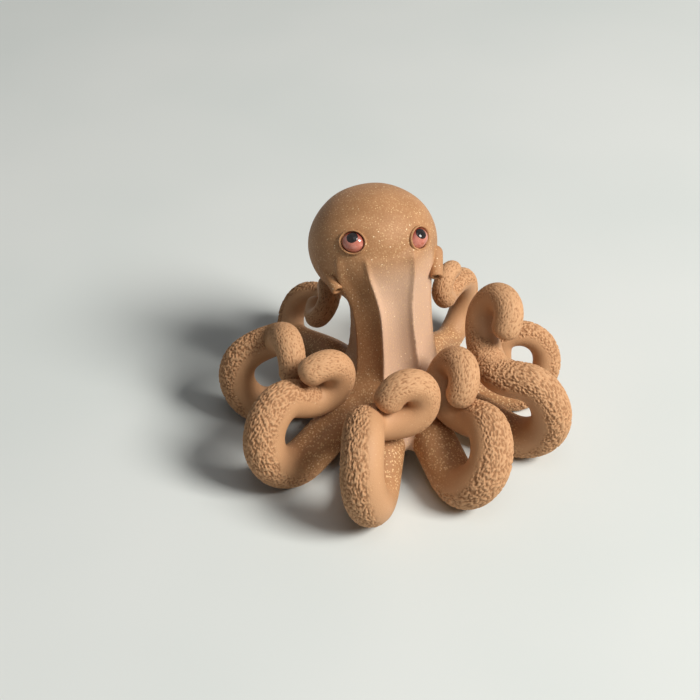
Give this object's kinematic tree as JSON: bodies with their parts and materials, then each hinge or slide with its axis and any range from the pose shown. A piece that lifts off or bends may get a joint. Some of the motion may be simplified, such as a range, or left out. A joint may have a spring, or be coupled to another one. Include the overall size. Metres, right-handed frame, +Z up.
{
  "type": "octopus figurine",
  "caption": "Small fired-clay octopus ornament with a round mantle, fluted neck, bead eyes and coiled arms that it stands on.",
  "frame": {"origin": "middle of the figure's footprint, on the surface that it stands on", "axes": "+Z up, -Y the way the face looks, +X the figure's own left"},
  "size_m": [0.0887, 0.092, 0.0629],
  "materials": {
    "clay": "matte",
    "eye_glaze": "gloss",
    "pupil_glaze": "gloss"
  },
  "bodies": {
    "root": {"body": "clay", "arm_right_1": "clay", "arm_right_2": "clay", "arm_right_3": "clay", "arm_right_4": "clay", "arm_left_1": "clay", "arm_left_2": "clay", "arm_left_3": "clay", "arm_left_4": "clay", "eyelid_right": "clay", "eyeball_right": "eye_glaze", "pupil_right": "pupil_glaze", "funnel_right": "clay", "eyelid_left": "clay", "eyeball_left": "eye_glaze", "pupil_left": "pupil_glaze", "funnel_left": "clay"}
  },
  "joints": []
}
